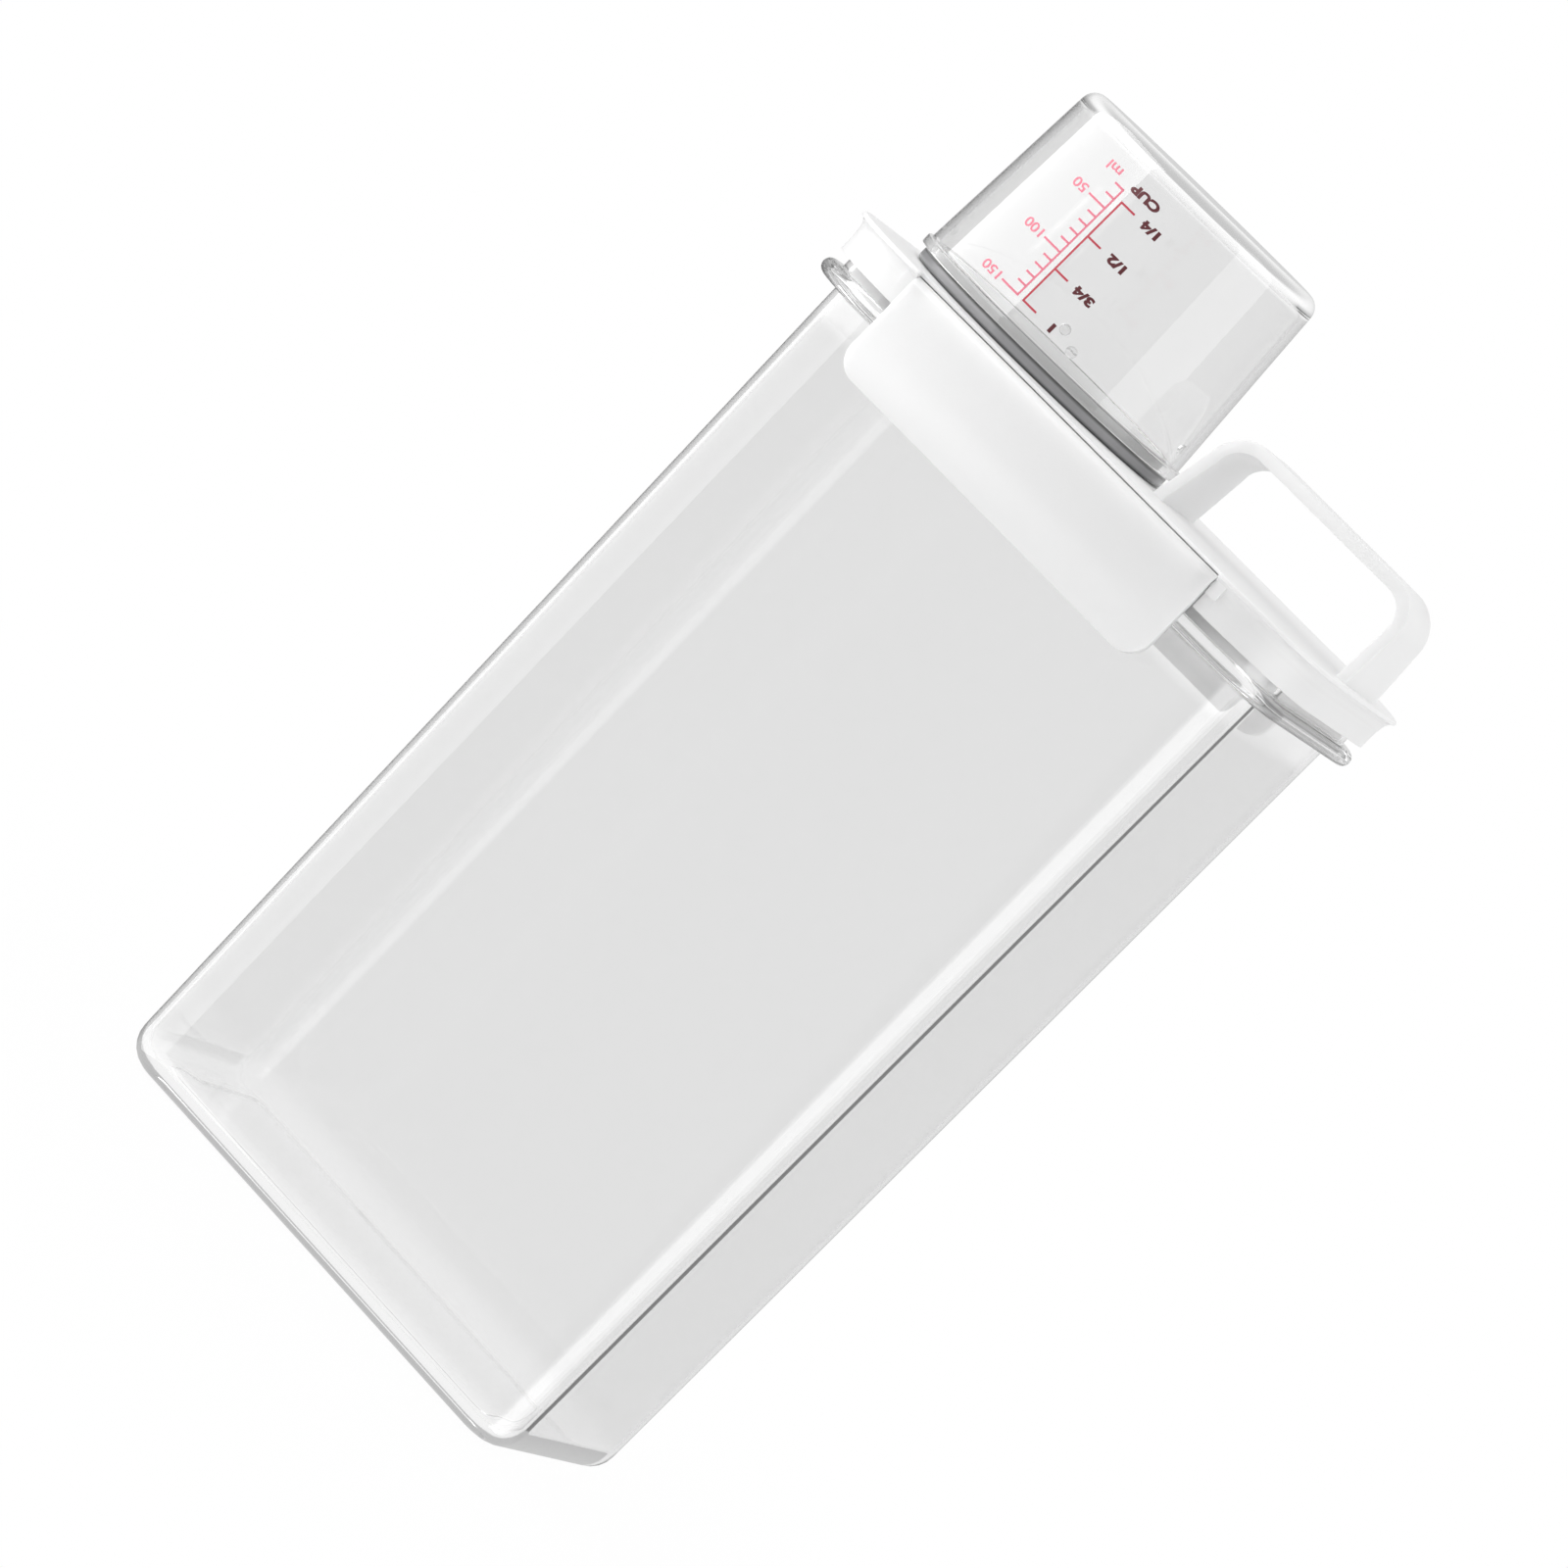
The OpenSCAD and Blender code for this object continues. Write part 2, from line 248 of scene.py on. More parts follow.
class Tree:
    """A node tree that is filled one node at a time."""

    def __init__(self, tree):
        self.tree = tree
        tree.nodes.clear()

    def node(self, kind, settings=None, sockets=None, output=0):
        """Adds a node, sets it, fills or links its sockets and gives one of its outputs."""
        made = self.tree.nodes.new(kind)
        for name, value in (settings or {}).items():
            if name == "stops":
                elements = made.color_ramp.elements
                while len(elements) < len(value):
                    elements.new(1.0)
                for element, (place, shade) in zip(elements, value):
                    element.position = place
                    element.color = (*shade, 1.0)
            else:
                setattr(made, name, value)
        for name, value in (sockets or {}).items():
            if isinstance(value, Socket):
                self.tree.links.new(value.socket, made.inputs[name])
            else:
                made.inputs[name].default_value = value
        return Socket(self, made.outputs[output]) if made.outputs else made

    def noise(self, size, detail=2.0, stretch=(1, 1, 1)):
        """Noise on the piece's own coordinates, with features of about a size in millimetres."""
        place = self.node("ShaderNodeTexCoord", output="Object")
        scaled = self.node("ShaderNodeMapping", sockets={"Vector": place, "Scale": stretch})
        return self.node("ShaderNodeTexNoise", sockets={
            "Vector": scaled, "Scale": 1 / (size * MM), "Detail": detail, "Roughness": 0.5})

    def bump(self, height, depth):
        """Bump of a height from 0 to 1 that stands for a depth in millimetres."""
        return self.node("ShaderNodeBump", sockets={
            "Height": height, "Distance": depth * MM, "Strength": 1.0})


def material(name):
    """A new material and its empty tree."""
    made = bpy.data.materials.new(name)
    made.use_nodes = True
    return made, Tree(made.node_tree)


def lets_lamps_through(tree, surface):
    """The surface, but nearly clear to light from lamps, which so reaches what is inside and behind. Rays
    that have been thrown about inside it a few times go straight on, dimmed."""
    deep = tree.node("ShaderNodeLightPath", output="Glossy Depth").math("GREATER_THAN", GLOSSY_TURNS)
    far = tree.node("ShaderNodeLightPath", output="Ray Depth").math("GREATER_THAN", ALL_TURNS)
    dim = tree.node("ShaderNodeBsdfTransparent", sockets={"Color": (*neutral(DIMMED), 1.0)})
    inside = tree.node("ShaderNodeMixShader", sockets={0: deep.math("MAXIMUM", far), 1: surface, 2: dim})
    clear = tree.node("ShaderNodeBsdfTransparent", sockets={"Color": (*neutral(LAMP_SHADE), 1.0)})
    lamp_ray = tree.node("ShaderNodeLightPath", output="Is Shadow Ray")
    return tree.node("ShaderNodeMixShader", sockets={0: lamp_ray, 1: inside, 2: clear})


def finish_material(tree, surface, volume=None):
    """Gives the tree its output."""
    sockets = {"Surface": surface}
    if volume is not None:
        sockets["Volume"] = volume
    tree.node("ShaderNodeOutputMaterial", sockets=sockets)


def ramp(tree, value, low, high, start=0.0, end=1.0):
    """A smooth step of a value from a start to an end."""
    return tree.node("ShaderNodeMapRange", {"interpolation_type": "SMOOTHSTEP"}, {
        "Value": value, "From Min": low, "From Max": high, "To Min": start, "To Max": end})


def tint(tree, factor, low, high):
    """A colour between two, by a factor from 0 to 1."""
    return tree.node("ShaderNodeValToRGB", {"stops": [(0.0, low), (1.0, high)]}, {"Fac": factor})


def clear_plastic(name, shade, density, painted_light_heights):
    """Glossy clear moulding: faint flow waves, a slight grey tone, and thick sections that the density
    darkens. The tone comes between the first two of four heights in millimetres, and goes between the
    last two. Outside them the tone is left out, so the plastic is painted lighter there as painted light."""
    made, tree = material(name)
    waves = tree.noise(42, detail=1.0, stretch=(1, 1, 0.35))
    haze = tree.noise(9, detail=3.0)
    place = tree.node("ShaderNodeTexCoord", output="Object")
    height = tree.node("ShaderNodeSeparateXYZ", sockets={0: place}, output="Z")
    start, full, fading, gone = (z * MM for z in painted_light_heights)
    # Painted light: outside the four heights the grey tone is left out, so the plastic is lighter there
    grey = ramp(tree, height, start, full) * ramp(tree, height, fading, gone, 1.0, 0.0)
    surface = tree.node("ShaderNodeBsdfPrincipled", sockets={
        "Base Color": tint(tree, (0.94 + 0.06 * waves) * grey, PAINTED_LIGHT_CLEAR_SHADE, shade),
        "Roughness": 0.012 + 0.02 * haze,
        "IOR": 1.5,
        "Transmission Weight": 1.0,
        "Normal": tree.bump(waves, 0.06)})
    volume = tree.node("ShaderNodeVolumeAbsorption", sockets={
        "Color": (0.0, 0.0, 0.0, 1.0), "Density": density})
    finish_material(tree, lets_lamps_through(tree, surface), volume)
    return made


def satin_plastic(name, shade, through, depth):
    """White moulding with a fine even grain, slight variation in gloss, and a share of the light that goes
    through it to a depth in millimetres."""
    made, tree = material(name)
    cloud = tree.noise(30, detail=2.0)
    grain = tree.noise(0.5, detail=2.0)
    surface = tree.node("ShaderNodeBsdfPrincipled", sockets={
        "Base Color": tint(tree, cloud, tuple(v * 0.985 for v in shade), shade),
        "Roughness": 0.3 + 0.1 * cloud,
        "IOR": 1.5,
        "Specular IOR Level": 0.35,
        "Subsurface Weight": through,
        "Subsurface Radius": (1.0, 1.0, 1.0),
        "Subsurface Scale": depth * MM,
        "Normal": tree.bump(grain, 0.012)})
    finish_material(tree, surface)
    return made


def soft_rubber(name, shade, through, band=None):
    """Translucent moulded rubber. A band, if given, is the lowest and highest point in millimetres of a
    part with painted shade at its top and bottom edges, where the gaps beside it shade it, below a paler
    thin sleeve."""
    made, tree = material(name)
    cloud = tree.noise(12, detail=2.0)
    grain = tree.noise(0.8, detail=2.0)
    if band:
        place = tree.node("ShaderNodeTexCoord", output="Object")
        height = tree.node("ShaderNodeSeparateXYZ", sockets={0: place}, output="Z") / MM
        low, high = band
        # Painted shade: the band darkens to the edge colour near its top and bottom
        rise = ramp(tree, height, low + 0.1, low + 1.1)
        fall = ramp(tree, height, high - 1.1, high - 0.3, 1.0, 0.0)
        sleeve = ramp(tree, height, high - 0.2, high + 0.4)
        stops = [(0.0, SEAL_EDGE_PAINTED_SHADE), (0.6, shade), (1.0, SEAL_SLEEVE)]
        tone = tree.node("ShaderNodeValToRGB", {"stops": stops}, {
            "Fac": (rise * fall * (0.56 + 0.04 * cloud)).math("MAXIMUM", sleeve)})
    else:
        tone = tint(tree, cloud, tuple(v * 0.95 for v in shade), shade)
    surface = tree.node("ShaderNodeBsdfPrincipled", sockets={
        "Base Color": tone,
        "Roughness": 0.14 + 0.1 * cloud,
        "IOR": 1.42,
        "Transmission Weight": through,
        "Normal": tree.bump(grain, 0.02)})
    finish_material(tree, surface)
    return made


def ink(name, shade):
    """Screen-printed ink, a little uneven."""
    made, tree = material(name)
    patch = tree.noise(0.7, detail=3.0)
    surface = tree.node("ShaderNodeBsdfPrincipled", sockets={
        "Base Color": tint(tree, patch, shade, tuple(min(1.0, v * 1.15 + 0.02) for v in shade)),
        "Roughness": 0.35 + 0.15 * patch,
        "Normal": tree.bump(patch, 0.01)})
    finish_material(tree, surface)
    return made


def rounded_corners(points, steps=FILLET_STEPS):
    """A profile of (x, z, radius) corners, with each corner turned into an arc."""
    out = []
    for i, (x, z, radius) in enumerate(points):
        here = Vector((x, z))
        if not radius or i in (0, len(points) - 1):
            out.append(here)
            continue
        before = (Vector(points[i - 1][:2]) - here).normalized()
        after = (Vector(points[i + 1][:2]) - here).normalized()
        half = before.angle(after) / 2
        reach = radius / math.tan(half)
        centre = here + (before + after).normalized() * (radius / math.sin(half))
        start = here + before * reach - centre
        end = here + after * reach - centre
        turn = start.angle_signed(end)
        for k in range(steps + 1):
            spin = Matrix.Rotation(-turn * k / steps, 2)
            out.append(centre + spin @ start)
    return out


def spaced(profile, near=0.6):
    """The profile with extra points beside its long straight runs, which keep them flat."""
    out = [profile[0]]
    for a, b in zip(profile, profile[1:]):
        run = b - a
        if run.length > 4 * near:
            out += [a + run.normalized() * near, b - run.normalized() * near]
        out.append(b)
    return out


def rounded_ring(width, depth, radius, z):
    """Points of a rounded rectangle at a height, with extra points beside the arcs."""
    beside = 1.0
    points = []
    for quarter, (sx, sy) in enumerate(((1, 1), (-1, 1), (-1, -1), (1, -1))):
        centre = Vector((sx * (width / 2 - radius), sy * (depth / 2 - radius), z))
        angles = [math.radians(90 * (quarter + i / CORNER_STEPS)) for i in range(CORNER_STEPS + 1)]
        arc = [centre + radius * Vector((math.cos(a), math.sin(a), 0)) for a in angles]
        enter = Vector((-math.sin(angles[0]), math.cos(angles[0]), 0)) * beside
        leave = Vector((-math.sin(angles[-1]), math.cos(angles[-1]), 0)) * beside
        points += [arc[0] - enter] + arc + [arc[-1] + leave]
    return points


def skinned(name, rings, sharp=40, closed=False):
    """A closed mesh over a row of rings in millimetres. The row's ends are filled, or joined if closed."""
    bm = bmesh.new()
    rows = [[bm.verts.new(p * MM) for p in ring] for ring in rings]
    for low, high in zip(rows, rows[1:] + rows[:1] if closed else rows[1:]):
        for i in range(len(low)):
            k = (i + 1) % len(low)
            bm.faces.new((low[i], low[k], high[k], high[i]))
    if not closed:
        bm.faces.new(rows[0])
        bm.faces.new(rows[-1])
    bmesh.ops.recalc_face_normals(bm, faces=bm.faces)
    return smooth_mesh(name, bm, sharp)


def smooth_mesh(name, bm, sharp):
    """The mesh of a bmesh, smooth except at edges sharper than an angle."""
    mesh = bpy.data.meshes.new(name)
    bm.to_mesh(mesh)
    bm.free()
    mesh.shade_smooth()
    mesh.set_sharp_from_angle(angle=math.radians(sharp))
    return mesh


def piece(name, mesh, finish, body, stands_for=None):
    """Puts a finished mesh into the scene, on its body and with its finish."""
    made = bpy.data.objects.new(name, mesh)
    bpy.context.scene.collection.objects.link(made)
    mesh.materials.clear()
    mesh.materials.append(finish)
    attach(made, body)
    if stands_for:
        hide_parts(stands_for)


def container_mesh():
    """The clear body: foot ring, round base edge, drafted walls, rim bead, neck and ledge."""
    slope = math.tan(math.radians(DRAFT))
    neck_in = NECK_OUT - NECK_T
    ledge = BEAD_TOP - LEDGE_DROP
    foot_in = BEAD_Z * slope + BASE_R + FOOT_W
    floor_in = WALL + (BEAD_Z - FLOOR_Z) * slope
    inside_r = BASE_R - WALL
    corners = [
        (-foot_in - FLAT_END, FOOT_H, 0), (-foot_in, FOOT_H, FOOT_EDGE_R), (-foot_in, 0, FOOT_EDGE_R),
        (-BEAD_Z * slope, 0, BASE_R), (0, BEAD_Z, UNDER_BEAD_R),
        (BEAD_OUT, BEAD_Z, BEAD_R), (BEAD_OUT, BEAD_TOP, BEAD_R),
        (NECK_OUT, BEAD_TOP, NECK_EDGE_R), (NECK_OUT, NECK_TOP, NECK_EDGE_R),
        (neck_in, NECK_TOP, NECK_EDGE_R),
        (neck_in, ledge, LEDGE_EDGE_R), (-WALL, ledge, LEDGE_FOOT_R),
        (-floor_in, FLOOR_Z, inside_r), (-floor_in - inside_r - FLAT_END, FLOOR_Z, 0)]
    rings = [rounded_ring(BODY_W + 2 * p.x, BODY_D + 2 * p.x, max(CORNER_R + p.x, FOOT_R), p.y)
             for p in spaced(rounded_corners(corners))]
    return skinned("container_shell", rings)


def turned(profile, centre_x):
    """Rings of a turned shape about an upright axis."""
    rings = []
    for p in profile:
        rings.append([Vector((centre_x + p.x * math.cos(a), p.x * math.sin(a), p.y))
                      for a in (2 * math.pi * i / TURN_STEPS for i in range(TURN_STEPS))])
    return rings


def cup_mesh():
    """The clear cup, mouth down: rim, tapered wall and thick closed end."""
    top = CUP_Z + CUP_H
    inner_top = top - CUP_END_T
    mouth_in = CUP_R - CUP_WALL
    rim_out = CUP_R + CUP_RIM_OUT
    rim_top = CUP_Z + CUP_RIM_H
    corners = [
        (FLAT_END, top, 0), (CUP_END_R, top, CUP_EDGE_R),
        (CUP_R - CUP_TAPER * CUP_RIM_H, rim_top, CUP_STEP_R),
        (rim_out, rim_top, CUP_RIM_R), (rim_out, CUP_Z, CUP_RIM_R), (mouth_in, CUP_Z, CUP_MOUTH_R),
        (CUP_END_R - CUP_WALL, inner_top, CUP_EDGE_R - CUP_WALL), (FLAT_END, inner_top, 0)]
    return skinned("cup_shell", turned(spaced(rounded_corners(corners)), CUP_X))


def seal_mesh():
    """The stepped grey ring: a band under the cup's rim and a thin sleeve around the spout's collar."""
    low, high = box_mm("spout_seal")
    outer = (high.x - low.x) / 2
    band_top = CUP_Z - SEAL_REST
    sleeve = SEAL_IN + SLEEVE_T
    start = (SEAL_IN + SEAL_IN_EDGE, low.z, 0)
    corners = [
        start, (outer, low.z, SEAL_BAND_R), (outer, band_top, SEAL_BAND_R),
        (sleeve, band_top, SLEEVE_FOOT_R), (sleeve, high.z, SLEEVE_TOP_R), (SEAL_IN, high.z, SLEEVE_TOP_R),
        (SEAL_IN, low.z, SEAL_IN_EDGE), start]
    return skinned("seal_ring", turned(rounded_corners(corners)[:-1], CUP_X), closed=True)


def node_inputs(tree, given):
    """Names the inputs of a geometry tree after a list of (name, type), and gives them as sockets."""
    for name, kind in given:
        tree.tree.interface.new_socket(name, in_out="INPUT", socket_type=kind)
    tree.tree.interface.new_socket("Geometry", in_out="OUTPUT", socket_type="NodeSocketGeometry")
    source = tree.tree.nodes.new("NodeGroupInput")
    return {name: Socket(tree, source.outputs[name]) for name, kind in given}


def print_tree(name, ticks):
    """Geometry tree that lays flat print around the cup: x runs around it, y is the height.
    With ticks, each point of the mesh first becomes a line as long as its reach."""
    number = "NodeSocketFloat"
    tree = Tree(bpy.data.node_groups.new(name, "GeometryNodeTree"))
    given = node_inputs(tree, [
        ("Flat print", "NodeSocketGeometry"), ("Line width", number), ("Axis", number),
        ("Mouth radius", number), ("Mouth height", number), ("Taper", number), ("Start angle", number),
        ("Ink", "NodeSocketMaterial")])
    flat = given["Flat print"]
    if ticks:
        reach = tree.node("GeometryNodeInputNamedAttribute", {"data_type": "FLOAT"}, {"Name": "reach"})
        bar = tree.node("GeometryNodeMeshGrid", sockets={
            "Size X": 1.0, "Size Y": 1.0, "Vertices X": 9, "Vertices Y": 2})
        size = tree.node("ShaderNodeCombineXYZ", sockets={"X": reach, "Y": given["Line width"], "Z": 1.0})
        bars = tree.node("GeometryNodeInstanceOnPoints", sockets={
            "Points": flat, "Instance": bar, "Scale": size})
        flat = tree.node("GeometryNodeRealizeInstances", sockets={"Geometry": bars})
    place = tree.node("GeometryNodeInputPosition")
    along, height = [tree.node("ShaderNodeSeparateXYZ", sockets={0: place}, output=axis) for axis in "XY"]
    radius = given["Mouth radius"] - given["Taper"] * (height - given["Mouth height"])
    angle = given["Start angle"] + along / radius
    around = tree.node("ShaderNodeCombineXYZ", sockets={
        "X": given["Axis"] + radius * angle.math("COSINE"), "Y": radius * angle.math("SINE"), "Z": height})
    wrapped = tree.node("GeometryNodeSetPosition", sockets={"Geometry": flat, "Position": around})
    inked = tree.node("GeometryNodeSetMaterial", sockets={"Geometry": wrapped, "Material": given["Ink"]})
    tree.node("NodeGroupOutput", sockets={"Geometry": inked})
    return tree.tree


def grown(name, mesh, group, values):
    """The mesh that a geometry tree makes of another, as a plain mesh."""
    holder = bpy.data.objects.new(name, mesh)
    bpy.context.scene.collection.objects.link(holder)
    modifier = holder.modifiers.new(name, "NODES")
    modifier.node_group = group
    for item in group.interface.items_tree:
        if item.in_out == "INPUT" and item.name in values:
            modifier[item.identifier] = values[item.name]
    holder.update_tag()
    made = bpy.data.meshes.new_from_object(holder.evaluated_get(bpy.context.evaluated_depsgraph_get()))
    made.name = name
    bpy.data.objects.remove(holder)
    return made


def volume_height(volume):
    """Height of the mark for a volume in millilitres, which the cup holds from its closed end to there."""
    closed = CUP_END_R - CUP_WALL
    low, high = 0.0, CUP_H
    for _ in range(40):
        deep = (low + high) / 2
        wide = closed + CUP_TAPER * deep
        held = math.pi * deep * (closed ** 2 + closed * wide + wide ** 2) / 3000
        low, high = (deep, high) if held < volume else (low, deep)
    return CUP_Z + CUP_H - CUP_END_T - low


def flat_text(words, height, at, anchor, weight):
    """Vertices and faces of a word, upside down as the cup is, at a place on the flat print. The anchor is
    the part of the word that lies there: 0 its left edge as seen, 0.5 its middle and 1 its right edge."""
    curve = bpy.data.curves.new("figure", "FONT")
    curve.body = words
    curve.offset = weight
    holder = bpy.data.objects.new("figure", curve)
    bpy.context.scene.collection.objects.link(holder)
    mesh = bpy.data.meshes.new_from_object(holder.evaluated_get(bpy.context.evaluated_depsgraph_get()))
    bpy.data.objects.remove(holder)
    points = [v.co.copy() for v in mesh.vertices]
    x0, x1 = min(p.x for p in points), max(p.x for p in points)
    y0, y1 = min(p.y for p in points), max(p.y for p in points)
    scale = height / (y1 - y0)
    centre = Vector((x1 - anchor * (x1 - x0), (y0 + y1) / 2, 0))
    size = Vector((scale * FIGURE_STRETCH, scale, 0))
    placed = [Vector((at[0], at[1], 0)) - (p - centre) * size for p in points]
    return placed, [tuple(f.vertices) for f in mesh.polygons]


def flat_print(name, words, lines, weight=THIN_STROKE):
    """A flat mesh of words and of upright bars, in metres. The weight thickens the words' strokes."""
    bm = bmesh.new()
    for text, height, at, anchor in words:
        points, faces = flat_text(text, height, at, anchor, weight)
        verts = [bm.verts.new(p * MM) for p in points]
        for face in faces:
            bm.faces.new([verts[i] for i in face])
    for at, low, high in lines:
        left, right = at - LINE_W / 2, at + LINE_W / 2
        corners = ((left, low), (right, low), (right, high), (left, high))
        bm.faces.new([bm.verts.new(Vector((x, y, 0)) * MM) for x, y in corners])
    bmesh.ops.recalc_face_normals(bm, faces=bm.faces)
    for face in bm.faces:
        if face.normal.z < 0:
            face.normal_flip()
    mesh = bpy.data.meshes.new(name)
    bm.to_mesh(mesh)
    bm.free()
    return mesh


def tick_points(name, ticks):
    """A mesh of loose points, one for each tick, with its length as the attribute reach."""
    mesh = bpy.data.meshes.new(name)
    mesh.from_pydata([Vector((start + reach / 2, z, 0)) * MM for start, reach, z in ticks], [], [])
    lengths = mesh.attributes.new("reach", "FLOAT", "POINT")
    for item, (_, reach, _) in zip(lengths.data, ticks):
        item.value = abs(reach) * MM
    return mesh


def print_scale():
    """The red volume scale, printed on the cup for use mouth up, so upside down here."""
    facing = math.radians(VIEW_AZIMUTH - 90)
    shared = {"Line width": LINE_W * MM, "Axis": CUP_X * MM, "Mouth radius": (CUP_R + INK_LIFT) * MM,
              "Mouth height": CUP_Z * MM, "Taper": CUP_TAPER}
    words_group = print_tree("lay_print", ticks=False)
    ticks_group = print_tree("rule_ticks", ticks=True)
    ml_marks = [(v, volume_height(v)) for v in range(ML_LOW, ML_TOP + 1, ML_STEP)]
    ml_long = [(v, z) for v, z in ml_marks if v % ML_LONG == 0]
    cup_marks = [(label, volume_height(ML_TOP * (i + 1) / len(CUP_PARTS)))
                 for i, label in enumerate(CUP_PARTS)]
    ml_ticks = [(0, -(LONG_TICK if v % ML_LONG == 0 else SHORT_TICK), z) for v, z in ml_marks]
    cup_ticks = [(0, CUP_TICK, z) for _, z in cup_marks]
    ml_words = [(str(v), FIGURE_H, (-LONG_TICK - FIGURE_GAP, z), 1) for v, z in ml_long]
    ml_words.append(("ml", FIGURE_H, (ML_HEADER_AT, HEADER_Z), 0.5))
    cup_words = [(label, FIGURE_H, (CUP_LABEL_AT, z), 0.5) for label, z in cup_marks]
    cup_words.append(("CUP", FIGURE_H, (CUP_HEADER_AT, HEADER_Z), 0.5))
    ml_line, cup_line = [(0, marks[-1][1] - LINE_W / 2, marks[0][1] + LINE_W / 2)
                         for marks in (ml_marks, cup_marks)]
    jobs = [
        ("ml_ticks", ML_SPINE, ink_rose, tick_points("ml_ticks_flat", ml_ticks), ticks_group),
        ("ml_print", ML_SPINE, ink_rose, flat_print("ml_flat", ml_words, [ml_line]), words_group),
        ("cup_ticks", CUP_SPINE, ink_crimson, tick_points("cup_ticks_flat", cup_ticks), ticks_group),
        ("cup_line", CUP_SPINE, ink_crimson, flat_print("cup_flat", [], [cup_line]), words_group),
        ("cup_print", CUP_SPINE, ink_maroon, flat_print(
            "cup_words", cup_words, [], BOLD_STROKE), words_group)]
    for name, spine, colour, flat, group in jobs:
        start = facing + math.radians(spine)
        mesh = grown(name, flat, group, {**shared, "Start angle": start, "Ink": colour})
        piece("scale_" + name, mesh, colour, "cup")


def cup_nubs():
    """Small round nubs inside the cup's mouth."""
    tree = Tree(bpy.data.node_groups.new("nub_ring", "GeometryNodeTree"))
    given = node_inputs(tree, [
        ("Places", "NodeSocketGeometry"), ("Radius", "NodeSocketFloat"),
        ("Finish", "NodeSocketMaterial")])
    ball = tree.node("GeometryNodeMeshIcoSphere", sockets={"Radius": given["Radius"], "Subdivisions": 3})
    set_on = tree.node("GeometryNodeInstanceOnPoints", sockets={"Points": given["Places"], "Instance": ball})
    real = tree.node("GeometryNodeRealizeInstances", sockets={"Geometry": set_on})
    done = tree.node("GeometryNodeSetMaterial", sockets={"Geometry": real, "Material": given["Finish"]})
    tree.node("NodeGroupOutput", sockets={"Geometry": done})
    inside = CUP_R - CUP_WALL - CUP_TAPER * (NUB_Z - CUP_Z)
    turns = [math.radians(NUB_TURN + 360 * i / NUB_COUNT) for i in range(NUB_COUNT)]
    spots = [Vector((CUP_X + inside * math.cos(a), inside * math.sin(a), NUB_Z)) * MM for a in turns]
    places = bpy.data.meshes.new("nub_places")
    places.from_pydata(spots, [], [])
    mesh = grown("nubs", places, tree.tree, {"Radius": NUB_R * MM, "Finish": clear_cup})
    mesh.shade_smooth()
    piece("cup_nubs", mesh, clear_cup, "cup")


def softened_mesh(node, width, sharp=32, flat=0.4):
    """A CAD node's mesh, joined up, with its edges rounded to a width in millimetres. Edges count as such
    above the sharp angle, and faces merge below the flat one, in degrees."""
    bm = bmesh.new()
    bm.from_mesh(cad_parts[node].data)
    bmesh.ops.remove_doubles(bm, verts=bm.verts, dist=2e-6)
    bmesh.ops.dissolve_limit(bm, angle_limit=math.radians(flat), verts=bm.verts, edges=bm.edges)
    limit = math.radians(sharp)
    edges = [e for e in bm.edges if e.is_manifold and e.calc_face_angle() > limit]
    bmesh.ops.bevel(
        bm, geom=edges, offset=width * MM, segments=3, profile=0.5, affect="EDGES", clamp_overlap=True)
    return smooth_mesh(node + "_soft", bm, sharp)


# Finishes
cup_top = CUP_Z + CUP_H
# Painted light in both clear finishes: no grey tone near the container's base and rim, nor near the cup's
# closed end
clear_body = clear_plastic(
    "clear_body_plastic", neutral(0.88), density=6.0, painted_light_heights=(2, 12, BEAD_Z - 9, BEAD_Z - 5))
clear_cup = clear_plastic(
    "clear_cup_plastic", neutral(0.88), density=1.0, painted_light_heights=(CUP_Z - 2, CUP_Z - 1, cup_top - 6, cup_top - 3))
lid_white = satin_plastic("lid_satin_white", neutral(0.885), through=0.4, depth=1.5)
latch_white = satin_plastic("latch_satin_white", neutral(0.92), through=1.0, depth=3.5)
seal_grey = soft_rubber(
    "seal_grey_rubber", (0.42, 0.42, 0.43), through=0.25, band=(box_mm("spout_seal")[0].z, CUP_Z))
gasket_white = soft_rubber("gasket_milky_rubber", neutral(0.8), through=0.3)
ink_rose = ink("ink_rose", (0.68, 0.13, 0.2))
ink_crimson = ink("ink_crimson", (0.46, 0.015, 0.04))
ink_maroon = ink("ink_maroon", (0.09, 0.003, 0.008))

# Pieces
piece("clear_container", container_mesh(), clear_body, "case", "container")
piece("clear_cup", cup_mesh(), clear_cup, "cup", "measuring_cup")
piece("white_lid", softened_mesh("lid", 0.25), lid_white, "case", "lid")
for side in ("front", "rear"):
    latch = side + "_latch"
    piece(side + "_flap", softened_mesh(latch, 0.4), latch_white, latch, latch)
piece("grey_seal", seal_mesh(), seal_grey, "case", "spout_seal")
piece("milky_gasket", softened_mesh("lid_gasket", 0.3), gasket_white, "case", "lid_gasket")
cup_nubs()
print_scale()


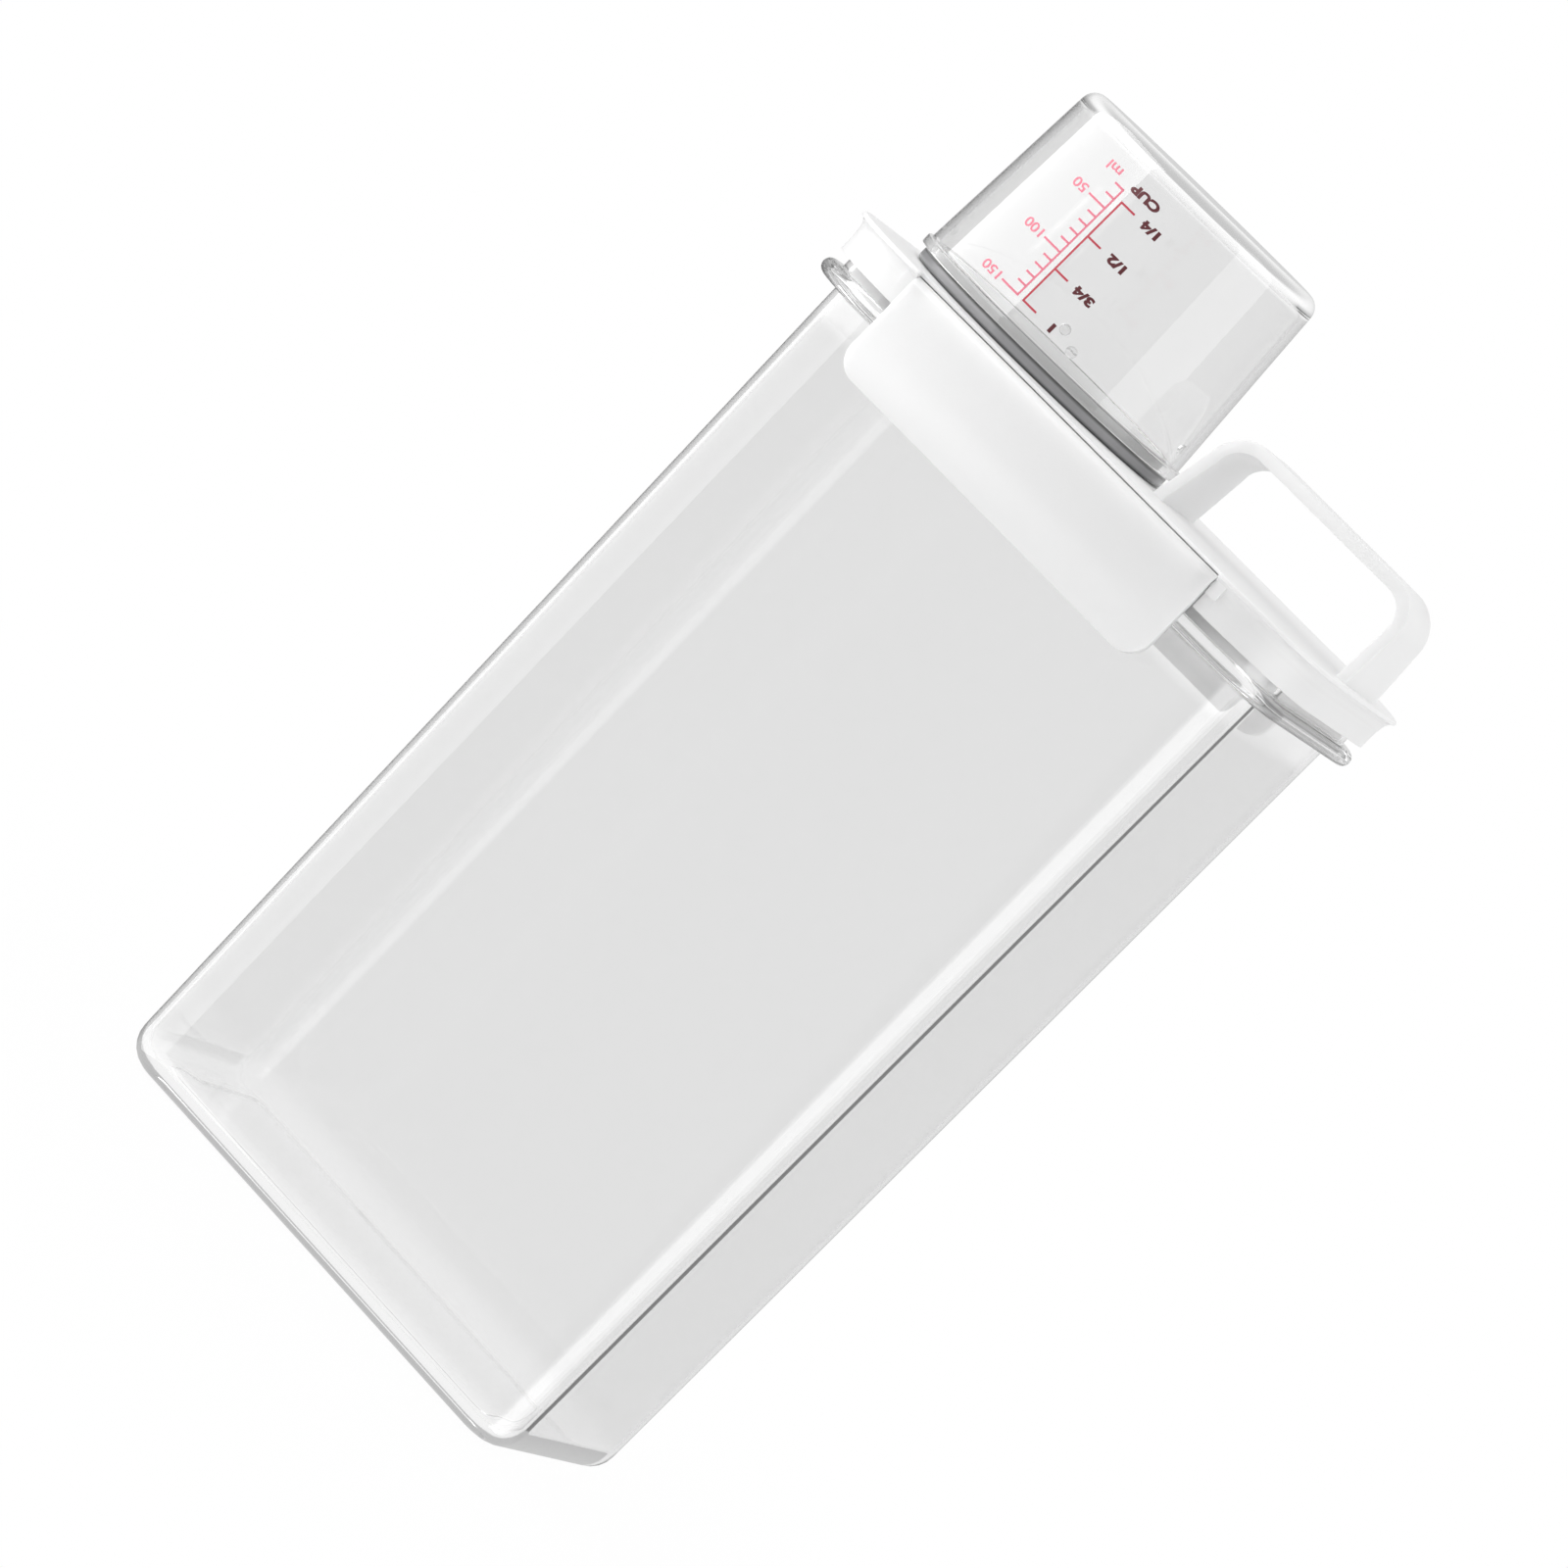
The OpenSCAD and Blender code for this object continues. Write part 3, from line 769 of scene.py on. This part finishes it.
def make_camera():
    """The camera at the photograph's place, with its lens and roll."""
    az = math.radians(VIEW_AZIMUTH)
    back = Vector((math.sin(az), -math.cos(az), 0))
    side = Vector((math.cos(az), math.sin(az), 0))
    place = back * CAMERA_DISTANCE + Vector((0, 0, CAMERA_HEIGHT))
    target = side * TARGET_SIDE + Vector((0, 0, TARGET_HEIGHT))
    ahead = (target - place).normalized()
    right = ahead.cross(Vector((0, 0, 1))).normalized()
    up = right.cross(ahead)
    r = math.radians(ROLL)
    x_axis = right * math.cos(r) - up * math.sin(r)
    y_axis = right * math.sin(r) + up * math.cos(r)
    turn = Matrix((x_axis, y_axis, -ahead)).transposed()
    data = bpy.data.cameras.new("camera")
    data.sensor_width = SENSOR_W
    data.sensor_fit = "HORIZONTAL"
    data.lens = FOCAL_PX * SENSOR_W / PICTURE_PX
    data.clip_start = 0.05
    data.clip_end = 60
    camera = bpy.data.objects.new("camera", data)
    camera.matrix_world = Matrix.Translation(place * MM) @ turn.to_4x4()
    bpy.context.scene.collection.objects.link(camera)
    bpy.context.scene.camera = camera


def make_floor():
    """A wide white floor that keeps a soft trace of the object's shadow, and fades to white further off."""
    half = GROUND_HALF
    bm = bmesh.new()
    bm.faces.new([bm.verts.new((x, y, GROUND_Z))
                  for x, y in ((-half, -half), (half, -half), (half, half), (-half, half))])
    mesh = bpy.data.meshes.new("floor")
    bm.to_mesh(mesh)
    bm.free()
    floor = bpy.data.objects.new("floor", mesh)
    bpy.context.scene.collection.objects.link(floor)
    made, tree = material("white_floor")
    seen = tree.node("ShaderNodeLightPath", output="Is Camera Ray")
    matt = tree.node("ShaderNodeBsdfDiffuse", sockets={"Color": GROUND_SHADE})
    light = tree.node("ShaderNodeEmission", sockets={"Color": (1, 1, 1, 1), "Strength": 1.0})
    place = tree.node("ShaderNodeTexCoord", output="Object")
    away = tree.node("ShaderNodeVectorMath", {"operation": "LENGTH"}, {0: place}, output="Value")
    white = seen * ramp(tree, away, SHADOW_NEAR, SHADOW_FAR, SHADOW_WHITE, 1.0)
    finish_material(tree, tree.node("ShaderNodeMixShader", sockets={0: white, 1: matt, 2: light}))
    mesh.materials.append(made)
    floor.visible_glossy = False
    floor.visible_transmission = False


def make_world():
    """A studio that is white where the camera sees it, also through clear plastic, and lights the object
    most from above. Reflections show it brighter above, and dim at each side, which draws the edges of
    clear walls."""
    world = bpy.data.worlds.new("studio")
    world.use_nodes = True
    bpy.context.scene.world = world
    tree = Tree(world.node_tree)
    seen = tree.node("ShaderNodeLightPath", output="Is Camera Ray").math(
        "MAXIMUM", tree.node("ShaderNodeLightPath", output="Is Transmission Ray"))
    way = tree.node("ShaderNodeTexCoord", output="Generated")
    x, y, z = [tree.node("ShaderNodeSeparateXYZ", sockets={0: way}, output=axis) for axis in "XYZ"]
    room = (ROOM_FRONT + ramp(tree, y, *ROOM_BACK_FROM_TO) * ROOM_BACK
            + ramp(tree, z, *ROOM_TOP_FROM_TO) * ROOM_TOP)
    shiny = tree.node("ShaderNodeLightPath", output="Is Glossy Ray")
    aside = (ramp(tree, x, *DIM_LEFT_FROM_TO, DIM_LEFT, 0.0)
             + ramp(tree, x, *DIM_RIGHT_FROM_TO, 0.0, DIM_RIGHT))
    level_with = ramp(tree, z, *DIM_LOW_FROM_TO) * ramp(tree, z, *DIM_HIGH_FROM_TO, 1.0, 0.0)
    above = ramp(tree, z, *SHINE_TOP_FROM_TO) * SHINE_TOP
    level = seen + (1 - seen) * (room * (1 - shiny * aside * level_with) + shiny * above)
    light = tree.node("ShaderNodeBackground", sockets={"Color": (1, 1, 1, 1), "Strength": level})
    tree.node("ShaderNodeOutputWorld", sockets={"Surface": light})


def area_lamp(name, azimuth, away, width, low, high, radiance, shine=False, through=False):
    """An upright soft panel beside the object, hidden from the camera. It either lights the object or, as
    shine, shows in its glossy faces, and with through also inside clear plastic. Its azimuth is in degrees
    from the front towards the handle's end."""
    turn = math.radians(azimuth)
    place = Vector((away * math.sin(turn), -away * math.cos(turn), (low + high) / 2))
    size = (width, high - low)
    data = bpy.data.lights.new(name, "AREA")
    data.shape = "RECTANGLE"
    data.size, data.size_y = size
    data.energy = radiance * math.pi * size[0] * size[1]
    lamp = bpy.data.objects.new(name, data)
    lamp.visible_camera = False
    lamp.visible_transmission = through
    lamp.visible_diffuse = not shine
    lamp.visible_glossy = shine
    lamp.location = place
    lamp.rotation_mode = "QUATERNION"
    lamp.rotation_quaternion = Vector((-place.x, -place.y, 0)).to_track_quat("-Z", "Y")
    bpy.context.scene.collection.objects.link(lamp)


make_camera()
make_floor()
make_world()
area_lamp("soft_left", -68, SOFT_AWAY, 1.1, PANEL_LOW, PANEL_TOP, 1.2)
area_lamp("soft_right", 82, SOFT_AWAY, 0.5, PANEL_LOW, PANEL_TOP, 0.6)
area_lamp("soft_back", 165, SOFT_AWAY, 0.9, PANEL_LOW, PANEL_TOP, 0.75)
area_lamp("shine_left_high", -60, SHINE_AWAY, 0.72, SHINE_STEP, PANEL_TOP, 3.9, shine=True)
area_lamp("shine_left_low", -64, SHINE_AWAY, 0.82, SHINE_LOW, SHINE_STEP, 1.9, shine=True)
area_lamp("shine_right", 82, SHINE_AWAY, 0.36, SHINE_LOW, PANEL_TOP, 1.6, shine=True)
area_lamp("shine_corner", 76, CORNER_AWAY, 0.28, SHINE_LOW, CORNER_TOP, 1.6, shine=True, through=True)
bpy.context.scene.view_settings.view_transform = "Standard"
